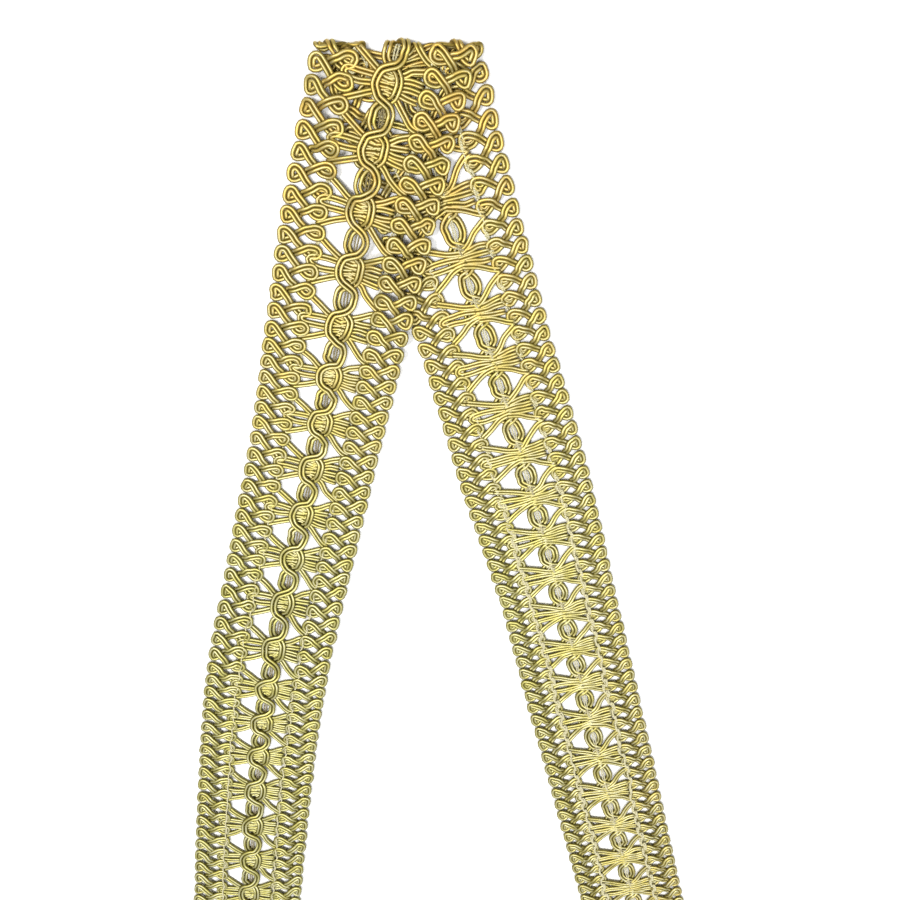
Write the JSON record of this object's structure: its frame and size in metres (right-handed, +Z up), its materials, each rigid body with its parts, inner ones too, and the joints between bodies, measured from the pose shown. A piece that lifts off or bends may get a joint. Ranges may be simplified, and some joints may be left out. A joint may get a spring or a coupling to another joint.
{
  "type": "folded length of gold gimp lace trim",
  "caption": "Flat-folded length of openwork gold gimp lace: a raised centre chain of ovals on spokes between two looped herringbone borders.",
  "frame": {"origin": "middle of the footprint, on the surface that the trim lies on", "axes": "+Y along the length of the V towards its fold, +Z up from the surface, +X to the right seen from above with the fold upwards"},
  "size_m": [0.2422, 0.403, 0.0059],
  "materials": {
    "gold_gimp": "metal-wrapped gimp cord, satin gold",
    "tie_thread": "matt pale thread"
  },
  "bodies": {
    "root": {"lace_trim": "gold_gimp"}
  },
  "joints": []
}
